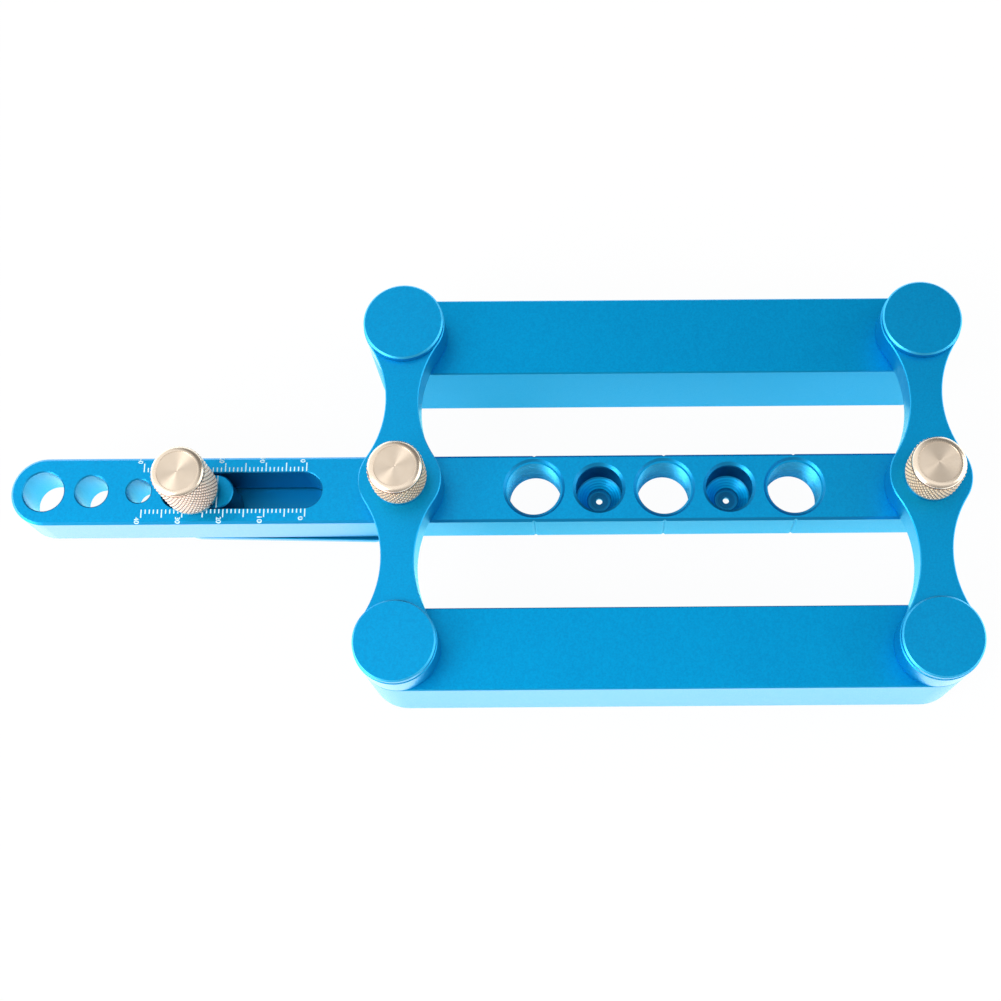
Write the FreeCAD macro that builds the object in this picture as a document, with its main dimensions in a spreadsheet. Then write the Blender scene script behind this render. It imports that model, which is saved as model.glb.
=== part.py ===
# A self-centering doweling jig, as a parametric assembly in millimetres.
# Two parallel jaws hang on two links that turn on a centre bar, so the bar stays midway between them.
# The origin is on the middle guide hole's axis at the bar's underside: X along the bar, Z up.

import FreeCAD, Part
import math
import os
import re
import Sketcher

sizes = [
    # centre bar
    ("bar_width", 17.0, "centre bar, across"),
    ("bar_thickness", 12.8, "centre bar, underside to top"),
    ("bar_reach", 160.4, "middle guide hole to the tip of the bar's round end"),
    ("bar_chamfer", 0.6, "chamfer round the bar's top"),
    ("bar_foot_chamfer", 0.3, "chamfer round the bar's underside"),
    # guide holes, marking bores and sight notches
    ("guide_count", 3, "guide holes in the row"),
    ("guide_pitch", 32.0, "guide hole to guide hole"),
    ("guide_diameter", 14.0, "guide hole wall"),
    ("guide_chamfer", 0.6, "chamfer at a guide hole's mouth"),
    ("marking_diameter", 11.5, "marking bore wall"),
    ("marking_chamfer", 0.75, "chamfer at a marking bore's mouth"),
    ("marking_depth", 9.2, "bar top to the end of a marking bore's wall"),
    ("drill_point_angle", 118.0, "cone angle of a marking bore's floor, degrees"),
    ("pilot_diameter", 5.8, "flat-bottomed step in a marking bore's floor"),
    ("pilot_depth", 11.8, "bar top to the floor of that step"),
    ("marking_hole_diameter", 1.6, "marking hole through the step's floor"),
    ("notch_width", 1.0, "sight notch, across its mouth"),
    ("notch_depth", 0.35, "sight notch, mouth to root"),
    # plain drill holes at the bar's end
    ("large_drill_diameter", 10.0, "largest drill hole"),
    ("large_drill_inset", 8.0, "bar's tip to the largest drill hole"),
    ("middle_drill_diameter", 8.0, "middle drill hole"),
    ("middle_drill_pitch", 11.8, "largest drill hole to the middle one"),
    ("small_drill_diameter", 6.0, "smallest drill hole"),
    ("small_drill_pitch", 11.6, "middle drill hole to the smallest"),
    ("drill_chamfer", 0.3, "chamfer at both mouths of a drill hole"),
    # slot
    ("slot_width", 9.2, "slider's slot, across"),
    ("slot_web", 2.4, "wall between the smallest drill hole and the slot"),
    ("slot_inset", 20.0, "left pivot to the slot's near end"),
    ("slot_chamfer", 0.2, "chamfer round the slot's mouth"),
    # linkage
    ("pivot_spacing", 128.0, "link pivot to link pivot along the bar"),
    ("arm_length", 40.0, "link's middle pivot to its end pivot"),
    ("lobe_diameter", 20.0, "link's three round lobes"),
    ("neck_width", 8.0, "link at its narrowest"),
    ("link_thickness", 8.3, "link, underside to top"),
    ("link_chamfer", 0.25, "chamfer round a link's faces"),
    # jaws
    ("jaw_width", 20.0, "jaw, across"),
    ("jaw_height", 25.0, "jaw, underside to top"),
    ("jaw_chamfer", 0.3, "chamfer round a jaw's faces"),
    ("counterbore_diameter", 10.0, "counterbore for a jaw screw"),
    ("counterbore_depth", 6.0, "depth of that counterbore"),
    ("screw_hole_diameter", 5.5, "clearance hole for a jaw screw"),
    # jaw pins, their screws and washers
    ("pin_head_diameter", 19.6, "flat head of a jaw pin"),
    ("pin_head_height", 1.9, "thickness of that head"),
    ("pin_head_chamfer", 0.4, "chamfer round that head"),
    ("pin_shank_diameter", 10.0, "shank of a jaw pin"),
    ("pin_depth", 14.0, "length of that shank in the jaw"),
    ("pin_lead_chamfer", 0.5, "chamfer at the shank's end"),
    ("screw_diameter", 5.0, "jaw screw shank"),
    ("screw_reach", 8.0, "length of a jaw screw in its pin"),
    ("screw_head_diameter", 8.5, "jaw screw head"),
    ("screw_head_height", 4.6, "height of that head"),
    ("screw_socket", 4.0, "hexagon socket of a jaw screw, across flats"),
    ("screw_socket_depth", 2.5, "depth of that socket"),
    ("screw_washer_diameter", 9.4, "washer under a jaw screw's head"),
    ("screw_washer_thickness", 1.0, "thickness of that washer"),
    # pivot bolts
    ("bolt_head_diameter", 12.0, "pivot bolt head"),
    ("bolt_head_height", 3.2, "height of that head"),
    ("bolt_head_inset", 0.4, "head below flush with the bar's underside"),
    ("bolt_head_chamfer", 0.4, "chamfer round that head"),
    ("bolt_socket", 5.0, "hexagon socket of a pivot bolt, across flats"),
    ("bolt_socket_depth", 2.2, "depth of that socket"),
    ("bolt_shank_diameter", 8.0, "pivot bolt shank, through bar and link"),
    ("bolt_stud_diameter", 6.0, "pivot bolt stud, in the knob"),
    ("bolt_stud_reach", 7.5, "length of that stud in the knob"),
    # knobs and thrust washers
    ("link_knob_diameter", 13.6, "knob on a link"),
    ("link_knob_height", 10.0, "height of that knob"),
    ("slider_knob_diameter", 13.2, "knob on the slider"),
    ("slider_knob_height", 15.6, "height of that knob"),
    ("knob_shoulder", 1.7, "radius between a knob's side and its top"),
    ("knob_foot_chamfer", 0.4, "chamfer at a knob's foot"),
    ("thrust_washer_diameter", 11.0, "washer in a knob's recess"),
    ("thrust_washer_thickness", 0.6, "thickness of that washer"),
    # slider, its screw and the stop arm
    ("slider_rest", 7.9, "slot's far end to the slider's screw"),
    ("slider_nose", 9.65, "slider's screw to the tip of its nose"),
    ("slider_recess", 1.0, "slider's top below the bar's top"),
    ("slider_chamfer", 0.3, "chamfer round the slider's top"),
    ("slider_screw_diameter", 4.0, "slider screw shank"),
    ("slider_screw_reach", 11.0, "length of that screw in the knob"),
    ("slider_head_diameter", 7.6, "countersunk head of that screw"),
    ("slider_socket", 2.5, "hexagon socket of that screw, across flats"),
    ("slider_socket_depth", 1.2, "depth of that socket"),
    ("stop_width", 16.5, "stop arm, across"),
    ("stop_length", 46.0, "slider's screw to the stop arm's tip"),
    ("stop_thickness", 2.0, "stop arm, underside to top"),
    ("stop_corner_radius", 3.0, "corners at the stop arm's tip"),
    ("stop_chamfer", 0.3, "chamfer round the stop arm's faces"),
    ("stop_drop", 0.7, "loosened stop arm's top below the bar's underside"),
    ("stop_angle", 1.4, "stop arm at rest, degrees clockwise from the bar"),
    # clearances
    ("sliding_gap", 0.1, "between stacked faces that slide or turn"),
    ("running_clearance", 0.05, "round a shaft that turns, on the radius"),
    ("seat_clearance", 0.02, "round a shaft that is fixed, on the radius"),
    ("head_clearance", 0.2, "round a head or washer in its recess, on the radius"),
    ("slot_clearance", 0.15, "slider in its slot, each side"),
    ("cone_clearance", 0.1, "round the countersunk head, on the radius"),
    ("tip_clearance", 0.5, "past the end of a screw or stud in a blind hole"),
    ("cut_overrun", 1.0, "how far a cutting profile passes the face it leaves by"),
]

doc = FreeCAD.newDocument("DowelingJig")
sheet = doc.addObject("Spreadsheet::Sheet", "Sizes")
for row, (alias, number, note) in enumerate(sizes, 1):
    sheet.set("A%d" % row, alias)
    sheet.set("B%d" % row, str(number))
    sheet.set("C%d" % row, note)
    sheet.setAlias("B%d" % row, alias)
doc.recompute()

FULL_TURN = 360
HEXAGON_SIDES = 6
FLAT = 1e-6


def bound(expression):
    """Point each size name in an expression at its cell in the sheet."""
    return re.sub(r"\b([a-z]+(?:_[a-z]+)+)\b", r"Sizes.\1", expression)


def present(expression):
    """What an expression of size names comes to now."""
    result = sheet.evalExpression(bound(expression))
    return float(getattr(result, "Value", result))


def new_body(name, across="0", back="0", up="0"):
    """A body placed in the assembly by expressions for its X, Y and Z."""
    body = doc.addObject("PartDesign::Body", name)
    body.Label = name
    for axis, expression in (("x", across), ("y", back), ("z", up)):
        body.setExpression(".Placement.Base." + axis, bound(expression))
    return body


def new_sketch(body, role, name, along="0"):
    """A sketch on one of the body's own planes, its origin shifted along the plane's first axis."""
    sketch = body.newObject("Sketcher::SketchObject", body.Name + "_" + name)
    plane = [item for item in body.Origin.OriginFeatures if item.Role == role][0]
    sketch.AttachmentSupport = [(plane, "")]
    sketch.MapMode = "FlatFace"
    sketch.setExpression("AttachmentOffset.Base.x", bound(along))
    return sketch


def constrain(sketch, kind, reference, expression):
    """Add a dimension to the sketch and bind it to an expression."""
    index = sketch.addConstraint(Sketcher.Constraint(kind, *reference, present(expression)))
    sketch.setExpression("Constraints[%d]" % index, bound(expression))


def hold_point(sketch, geometry, point, across=None, up=None):
    """Hold one point of the sketch at an X, a Y or both, measured from its origin."""
    if across is not None:
        constrain(sketch, "DistanceX", (-1, 1, geometry, point), across)
    if up is not None:
        constrain(sketch, "DistanceY", (-1, 1, geometry, point), up)


def draw_loop(sketch, steps):
    """Draw a closed loop of straight and round steps, held by expressions.

    A step is ("line", x, y), or ("left" or "right", x, y, centre x, centre y) for an arc that
    turns that way. Each step ends at its x, y and starts where the step before it ends.
    """
    ends = [(present(step[1]), present(step[2])) for step in steps]
    joints = []
    for number, step in enumerate(steps):
        start, end = ends[number - 1], ends[number]
        if step[0] == "line":
            edge = Part.LineSegment(FreeCAD.Vector(*start), FreeCAD.Vector(*end))
            joints.append((sketch.addGeometry(edge), 1, 2))
            continue
        centre = (present(step[3]), present(step[4]))
        circle = Part.Circle(FreeCAD.Vector(*centre), FreeCAD.Vector(0, 0, 1), math.dist(centre, end))
        angles = [math.atan2(y - centre[1], x - centre[0]) for x, y in (start, end)]
        first, last = (1, 2) if step[0] == "left" else (2, 1)
        if step[0] == "right":
            angles.reverse()
        joints.append((sketch.addGeometry(Part.ArcOfCircle(circle, *angles)), first, last))
    for number, (geometry, first, last) in enumerate(joints):
        before, _, before_last = joints[number - 1]
        sketch.addConstraint(Sketcher.Constraint("Coincident", before, before_last, geometry, first))
    for step, end, (geometry, first, last) in zip(steps, ends, joints):
        if step[0] == "line":
            hold_point(sketch, geometry, last, step[1], step[2])
            continue
        hold_point(sketch, geometry, 3, step[3], step[4])
        # the arc itself fixes the end's other coordinate
        if abs(end[1] - present(step[4])) >= abs(end[0] - present(step[3])):
            hold_point(sketch, geometry, last, across=step[1])
        else:
            hold_point(sketch, geometry, last, up=step[2])


def draw_circle(sketch, diameter, across="0", up="0"):
    """Draw a circle held by expressions."""
    centre = FreeCAD.Vector(present(across), present(up))
    circle = Part.Circle(centre, FreeCAD.Vector(0, 0, 1), present(diameter) / 2)
    geometry = sketch.addGeometry(circle)
    hold_point(sketch, geometry, 3, across, up)
    constrain(sketch, "Diameter", (geometry,), diameter)


def draw_stadium(sketch, width, low, high):
    """Draw a full-round slot outline along X whose end centres are at low and high."""
    half = "(%s) / 2" % width
    draw_loop(sketch, [
        ("left", low, "-" + half, low, "0"),
        ("line", high, "-" + half),
        ("left", high, half, high, "0"),
        ("line", low, half),
    ])


def pad(body, sketch, length):
    """Extrude a sketch upwards."""
    feature = body.newObject("PartDesign::Pad", sketch.Name + "_pad")
    feature.Profile = sketch
    feature.setExpression("Length", bound(length))
    doc.recompute()
    return feature


def revolve(body, sketch):
    """Turn a profile all the way round its sketch's vertical axis."""
    feature = body.newObject("PartDesign::Revolution", sketch.Name + "_turned")
    feature.Profile = sketch
    feature.ReferenceAxis = (sketch, ["V_Axis"])
    feature.Angle = FULL_TURN
    doc.recompute()
    return feature


def check_cut(body, feature, before):
    """Stop if a cut took nothing away."""
    doc.recompute()
    if not feature.Shape.Volume < before - FLAT:
        raise ValueError(feature.Name + " cuts nothing from " + body.Label)
    return feature


def bore(body, sketch):
    """Cut a profile turned round its sketch's vertical axis."""
    before = body.Shape.Volume
    feature = body.newObject("PartDesign::Groove", sketch.Name + "_cut")
    feature.Profile = sketch
    feature.ReferenceAxis = (sketch, ["V_Axis"])
    feature.Angle = FULL_TURN
    return check_cut(body, feature, before)


def cut_through(body, sketch):
    """Cut a sketch through everything above and below it."""
    before = body.Shape.Volume
    feature = body.newObject("PartDesign::Pocket", sketch.Name + "_cut")
    feature.Profile = sketch
    feature.Type = "ThroughAll"
    feature.Midplane = True
    return check_cut(body, feature, before)


def cut_up(body, sketch, depth):
    """Cut a sketch upwards to a depth."""
    before = body.Shape.Volume
    feature = body.newObject("PartDesign::Pocket", sketch.Name + "_cut")
    feature.Profile = sketch
    feature.Reversed = True
    feature.setExpression("Length", bound(depth))
    return check_cut(body, feature, before)


def repeat(body, features, sketch, length, count):
    """Repeat features along their sketch's first axis, over a length."""
    pattern = body.newObject("PartDesign::LinearPattern", sketch.Name + "_row")
    pattern.Originals = features
    pattern.Direction = (sketch, ["H_Axis"])
    pattern.setExpression("Length", bound(length))
    pattern.setExpression("Occurrences", bound(count))
    body.Tip = pattern
    doc.recompute()
    return pattern


def chamfer_rims(body, base, size, *heights, reach=None):
    """Chamfer every edge that lies flat at one of the heights, within a reach of the X axis."""
    levels = [present(height) for height in heights]
    farthest = present(reach) if reach else math.inf
    names = []
    for number, edge in enumerate(base.Shape.Edges, 1):
        box = edge.BoundBox
        flat = any(abs(box.ZMin - level) < FLAT and abs(box.ZMax - level) < FLAT for level in levels)
        if flat and max(-box.YMin, box.YMax) < farthest + FLAT:
            names.append("Edge%d" % number)
    feature = body.newObject("PartDesign::Chamfer", body.Name + "_chamfer")
    feature.Base = (base, names)
    feature.setExpression("Size", bound(size))
    doc.recompute()
    return feature


def cut_socket(body, flats, depth):
    """Cut a hexagon socket upwards from the body's underside."""
    sketch = new_sketch(body, "XY_Plane", "socket")
    corner = "%s / sqrt(3) * %s(%d deg)"
    angles = [side * FULL_TURN // HEXAGON_SIDES for side in range(HEXAGON_SIDES)]
    draw_loop(sketch, [
        ("line", corner % (flats, "cos", angle), corner % (flats, "sin", angle)) for angle in angles
    ])
    return cut_up(body, sketch, depth)


# Places that several pieces share, as expressions of the sizes.
pivot_x = "pivot_spacing / 2"
link_underside = "bar_thickness + sliding_gap"
link_top = "(bar_thickness + sliding_gap + link_thickness)"
jaw_underside = "(bar_thickness - jaw_height)"
large_drill_x = "(large_drill_inset - bar_reach)"
middle_drill_x = large_drill_x + " + middle_drill_pitch"
small_drill_x = middle_drill_x + " + small_drill_pitch"
slot_low = small_drill_x + " + small_drill_diameter / 2 + slot_web"
slot_high = "(-pivot_spacing / 2 - slot_inset)"
slider_x = slot_low + " + slider_rest"
slider_washer_base = "(bar_thickness + sliding_gap)"
stop_underside = "-stop_drop - stop_thickness"
bolt_recess_depth = "(bolt_head_inset + bolt_head_height)"


def make_center_bar():
    """The bar, with its holes, slot, notches and pivot bores."""
    body = new_body("center_bar")
    sketch = new_sketch(body, "XY_Plane", "outline")
    draw_stadium(sketch, "bar_width", "bar_width / 2 - bar_reach", pivot_x)
    base = pad(body, sketch, "bar_thickness")
    topped = chamfer_rims(body, base, "bar_chamfer", "bar_thickness")
    chamfer_rims(body, topped, "bar_foot_chamfer", "0")

    slot = new_sketch(body, "XY_Plane", "slot")
    draw_stadium(slot, "slot_width", slot_low + " + slot_width / 2", slot_high + " - slot_width / 2")
    opened = cut_through(body, slot)
    chamfer_rims(body, opened, "slot_chamfer", "bar_thickness", reach="slot_width / 2")

    drills = {"large_drill": large_drill_x, "middle_drill": middle_drill_x, "small_drill": small_drill_x}
    for name, across in drills.items():
        wall = name + "_diameter / 2"
        mouth = wall + " + drill_chamfer + cut_overrun"
        drill = new_sketch(body, "XZ_Plane", name, across)
        draw_loop(drill, [
            ("line", "0", "-cut_overrun"),
            ("line", mouth, "-cut_overrun"),
            ("line", wall, "drill_chamfer"),
            ("line", wall, "bar_thickness - drill_chamfer"),
            ("line", mouth, "bar_thickness + cut_overrun"),
            ("line", "0", "bar_thickness + cut_overrun"),
        ])
        bore(body, drill)

    pivot = new_sketch(body, "XZ_Plane", "pivot", "-" + pivot_x)
    recess_wall = "bolt_head_diameter / 2 + head_clearance"
    shank_wall = "bolt_shank_diameter / 2 + seat_clearance"
    draw_loop(pivot, [
        ("line", "0", "-cut_overrun"),
        ("line", recess_wall, "-cut_overrun"),
        ("line", recess_wall, bolt_recess_depth),
        ("line", shank_wall, bolt_recess_depth),
        ("line", shank_wall, "bar_thickness + cut_overrun"),
        ("line", "0", "bar_thickness + cut_overrun"),
    ])
    repeat(body, [bore(body, pivot)], pivot, "pivot_spacing", "2")

    marking = new_sketch(body, "XZ_Plane", "marking", "-guide_pitch * (guide_count - 2) / 2")
    wall = "marking_diameter / 2"
    cone_height = "(marking_diameter - pilot_diameter) / 2 / tan(drill_point_angle / 2 * 1 deg)"
    draw_loop(marking, [
        ("line", "0", "-cut_overrun"),
        ("line", "marking_hole_diameter / 2", "-cut_overrun"),
        ("line", "marking_hole_diameter / 2", "bar_thickness - pilot_depth"),
        ("line", "pilot_diameter / 2", "bar_thickness - pilot_depth"),
        ("line", "pilot_diameter / 2", "bar_thickness - marking_depth - " + cone_height),
        ("line", wall, "bar_thickness - marking_depth"),
        ("line", wall, "bar_thickness - marking_chamfer"),
        ("line", wall + " + marking_chamfer + cut_overrun", "bar_thickness + cut_overrun"),
        ("line", "0", "bar_thickness + cut_overrun"),
    ])
    marking_row = "guide_pitch * (guide_count - 2)"
    repeat(body, [bore(body, marking)], marking, marking_row, "guide_count - 1")

    guide_start = "-guide_pitch * (guide_count - 1) / 2"
    notch = new_sketch(body, "XY_Plane", "notch", guide_start)
    mouth = "notch_width / 2 * (notch_depth + cut_overrun) / notch_depth"
    for side in ("", "-"):
        outer = side + "(bar_width / 2 + cut_overrun)"
        draw_loop(notch, [
            ("line", "0", side + "(bar_width / 2 - notch_depth)"),
            ("line", mouth, outer),
            ("line", "-" + mouth, outer),
        ])
    notches = cut_through(body, notch)
    guide = new_sketch(body, "XZ_Plane", "guide", guide_start)
    wall = "guide_diameter / 2"
    draw_loop(guide, [
        ("line", "0", "-cut_overrun"),
        ("line", wall, "-cut_overrun"),
        ("line", wall, "bar_thickness - guide_chamfer"),
        ("line", wall + " + guide_chamfer + cut_overrun", "bar_thickness + cut_overrun"),
        ("line", "0", "bar_thickness + cut_overrun"),
    ])
    guide_row = "guide_pitch * (guide_count - 1)"
    repeat(body, [notches, bore(body, guide)], guide, guide_row, "guide_count")
    return body


def make_link(name, pivot):
    """A dog-bone link: three round lobes joined by two necks with hollow flanks."""
    body = new_body(name, pivot, "0", link_underside)
    sketch = new_sketch(body, "XY_Plane", "half_outline")
    lobe = "lobe_diameter / 2"
    flank = (
        "((arm_length / 2) ^ 2 + (neck_width / 2) ^ 2 - (lobe_diameter / 2) ^ 2)"
        " / (lobe_diameter - neck_width)"
    )
    flank_x = "(neck_width / 2 + %s)" % flank
    share = "(lobe_diameter / 2) / (lobe_diameter / 2 + %s)" % flank
    touch_x = "%s * %s" % (share, flank_x)
    touch_y = "%s * arm_length / 2" % share
    draw_loop(sketch, [
        ("line", "0", "-arm_length - " + lobe),
        ("left", touch_x, "-arm_length + " + touch_y, "0", "-arm_length"),
        ("right", touch_x, "-" + touch_y, flank_x, "-arm_length / 2"),
        ("left", touch_x, touch_y, "0", "0"),
        ("right", touch_x, "arm_length - " + touch_y, flank_x, "arm_length / 2"),
        ("left", "0", "arm_length + " + lobe, "0", "arm_length"),
    ])
    half = pad(body, sketch, "link_thickness")
    whole = body.newObject("PartDesign::Mirrored", body.Name + "_whole")
    whole.Originals = [half]
    plane = [item for item in body.Origin.OriginFeatures if item.Role == "YZ_Plane"][0]
    whole.MirrorPlane = (plane, [""])
    body.Tip = whole
    doc.recompute()
    chamfer_rims(body, whole, "link_chamfer", "0", "link_thickness")

    bores = new_sketch(body, "XY_Plane", "bores")
    draw_circle(bores, "bolt_shank_diameter + 2 * running_clearance")
    for end in ("arm_length", "-arm_length"):
        draw_circle(bores, "pin_shank_diameter + 2 * running_clearance", "0", end)
    cut_through(body, bores)
    return body


def make_jaw(name, back):
    """A full-round jaw, bored for a pin and a screw at each end."""
    body = new_body(name, "0", back, jaw_underside)
    sketch = new_sketch(body, "XY_Plane", "outline")
    draw_stadium(sketch, "jaw_width", "-" + pivot_x, pivot_x)
    base = pad(body, sketch, "jaw_height")
    chamfer_rims(body, base, "jaw_chamfer", "0", "jaw_height")

    end = new_sketch(body, "XZ_Plane", "end", "-" + pivot_x)
    pin_wall = "pin_shank_diameter / 2 + seat_clearance"
    draw_loop(end, [
        ("line", "0", "-cut_overrun"),
        ("line", "counterbore_diameter / 2", "-cut_overrun"),
        ("line", "counterbore_diameter / 2", "counterbore_depth"),
        ("line", "screw_hole_diameter / 2", "counterbore_depth"),
        ("line", "screw_hole_diameter / 2", "jaw_height - pin_depth"),
        ("line", pin_wall, "jaw_height - pin_depth"),
        ("line", pin_wall, "jaw_height + cut_overrun"),
        ("line", "0", "jaw_height + cut_overrun"),
    ])
    repeat(body, [bore(body, end)], end, "pivot_spacing", "2")
    return body


def make_pin(name, across, back):
    """A jaw pin: a flat head over the link, and a shank through it into the jaw."""
    body = new_body(name, across, back, "bar_thickness - pin_depth")
    sketch = new_sketch(body, "XZ_Plane", "profile")
    hole = "screw_diameter / 2 + seat_clearance"
    shank = "pin_shank_diameter / 2"
    head = "pin_head_diameter / 2"
    under_head = "(pin_depth + link_thickness + 2 * sliding_gap)"
    top = under_head + " + pin_head_height"
    draw_loop(sketch, [
        ("line", hole, "0"),
        ("line", shank + " - pin_lead_chamfer", "0"),
        ("line", shank, "pin_lead_chamfer"),
        ("line", shank, under_head),
        ("line", head, under_head),
        ("line", head, top + " - pin_head_chamfer"),
        ("line", head + " - pin_head_chamfer", top),
        ("line", "0", top),
        ("line", "0", "screw_reach + tip_clearance"),
        ("line", hole, "screw_reach + tip_clearance"),
    ])
    revolve(body, sketch)
    return body


def make_jaw_screw(name, across, back):
    """A socket-head screw, up through the jaw into the pin."""
    head_base = jaw_underside + " + counterbore_depth - screw_washer_thickness - screw_head_height"
    body = new_body(name, across, back, head_base)
    sketch = new_sketch(body, "XZ_Plane", "profile")
    web = "(jaw_height - pin_depth - counterbore_depth)"
    tip = "screw_head_height + screw_washer_thickness + %s + screw_reach" % web
    draw_loop(sketch, [
        ("line", "0", "0"),
        ("line", "screw_head_diameter / 2", "0"),
        ("line", "screw_head_diameter / 2", "screw_head_height"),
        ("line", "screw_diameter / 2", "screw_head_height"),
        ("line", "screw_diameter / 2", tip),
        ("line", "0", tip),
    ])
    revolve(body, sketch)
    cut_socket(body, "screw_socket", "screw_socket_depth")
    return body


def make_washer(name, across, back, up, shaft, diameter, thickness):
    """A flat washer round a shaft."""
    body = new_body(name, across, back, up)
    sketch = new_sketch(body, "XY_Plane", "ring")
    draw_circle(sketch, diameter)
    draw_circle(sketch, shaft + " + 2 * head_clearance")
    pad(body, sketch, thickness)
    return body


def make_pivot_bolt(name, across):
    """A shouldered bolt: head in the bar's underside, stud up into a knob."""
    body = new_body(name, across, "0", "bolt_head_inset")
    sketch = new_sketch(body, "XZ_Plane", "profile")
    head = "bolt_head_diameter / 2"
    shoulder = link_top + " - sliding_gap - bolt_head_inset"
    tip = link_top + " + sliding_gap + bolt_stud_reach - bolt_head_inset"
    draw_loop(sketch, [
        ("line", "0", "0"),
        ("line", head + " - bolt_head_chamfer", "0"),
        ("line", head, "bolt_head_chamfer"),
        ("line", head, "bolt_head_height"),
        ("line", "bolt_shank_diameter / 2", "bolt_head_height"),
        ("line", "bolt_shank_diameter / 2", shoulder),
        ("line", "bolt_stud_diameter / 2", shoulder),
        ("line", "bolt_stud_diameter / 2", tip),
        ("line", "0", tip),
    ])
    revolve(body, sketch)
    cut_socket(body, "bolt_socket", "bolt_socket_depth")
    return body


def make_knob(name, across, up, diameter, height, shaft, reach):
    """A round knob with a soft shoulder, a washer recess and a blind bore."""
    body = new_body(name, across, "0", up)
    sketch = new_sketch(body, "XZ_Plane", "profile")
    side = diameter + " / 2"
    recess = "thrust_washer_diameter / 2 + head_clearance"
    hole = shaft + " / 2 + running_clearance"
    hole_top = reach + " + tip_clearance"
    shoulder_base = height + " - knob_shoulder"
    shoulder_centre = side + " - knob_shoulder"
    draw_loop(sketch, [
        ("line", recess, "0"),
        ("line", side + " - knob_foot_chamfer", "0"),
        ("line", side, "knob_foot_chamfer"),
        ("line", side, shoulder_base),
        ("left", shoulder_centre, height, shoulder_centre, shoulder_base),
        ("line", "0", height),
        ("line", "0", hole_top),
        ("line", hole, hole_top),
        ("line", hole, "thrust_washer_thickness"),
        ("line", recess, "thrust_washer_thickness"),
    ])
    revolve(body, sketch)
    return body


def make_slider_block():
    """The block in the slot: round behind its screw, with a round nose in front."""
    body = new_body("slider_block", slider_x, "0", "0")
    sketch = new_sketch(body, "XY_Plane", "outline")
    width = "slot_width - 2 * slot_clearance"
    draw_stadium(sketch, width, "0", "slider_nose - slot_width / 2 + slot_clearance")
    height = "bar_thickness - slider_recess"
    base = pad(body, sketch, height)
    chamfer_rims(body, base, "slider_chamfer", height)
    hole = new_sketch(body, "XY_Plane", "hole")
    draw_circle(hole, "slider_screw_diameter + 2 * seat_clearance")
    cut_through(body, hole)
    return body


def make_slider_screw():
    """A countersunk screw, up through the stop arm and the block into the slider's knob."""
    body = new_body("slider_screw", slider_x, "0", stop_underside)
    sketch = new_sketch(body, "XZ_Plane", "profile")
    shank = "slider_screw_diameter / 2"
    head = "slider_head_diameter / 2"
    knob_base = slider_washer_base + " + sliding_gap"
    tip = "%s + slider_screw_reach + stop_drop + stop_thickness" % knob_base
    draw_loop(sketch, [
        ("line", "0", "0"),
        ("line", head, "0"),
        ("line", shank, head + " - " + shank),
        ("line", shank, tip),
        ("line", "0", tip),
    ])
    revolve(body, sketch)
    cut_socket(body, "slider_socket", "slider_socket_depth")
    return body


def make_stop_arm():
    """The thin arm under the bar, which swivels about the slider's screw."""
    body = new_body("stop_arm", slider_x, "0", stop_underside)
    body.Placement.Rotation = FreeCAD.Rotation(FreeCAD.Vector(0, 0, -1), present("stop_angle"))
    body.setExpression(".Placement.Rotation.Angle", bound("stop_angle"))
    sketch = new_sketch(body, "XY_Plane", "outline")
    half = "stop_width / 2"
    corner_x = "stop_length - stop_corner_radius"
    corner_y = "(stop_width / 2 - stop_corner_radius)"
    draw_loop(sketch, [
        ("left", "0", "-" + half, "0", "0"),
        ("line", corner_x, "-" + half),
        ("left", "stop_length", "-" + corner_y, corner_x, "-" + corner_y),
        ("line", "stop_length", corner_y),
        ("left", corner_x, half, corner_x, corner_y),
        ("line", "0", half),
    ])
    base = pad(body, sketch, "stop_thickness")
    chamfer_rims(body, base, "stop_chamfer", "0", "stop_thickness")

    sink = new_sketch(body, "XZ_Plane", "sink")
    shank_wall = "slider_screw_diameter / 2 + running_clearance"
    mouth = "slider_head_diameter / 2 + cone_clearance"
    draw_loop(sink, [
        ("line", "0", "-cut_overrun"),
        ("line", mouth + " + cut_overrun", "-cut_overrun"),
        ("line", shank_wall, "%s - (%s)" % (mouth, shank_wall)),
        ("line", shank_wall, "stop_thickness + cut_overrun"),
        ("line", "0", "stop_thickness + cut_overrun"),
    ])
    bore(body, sink)
    return body


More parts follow.
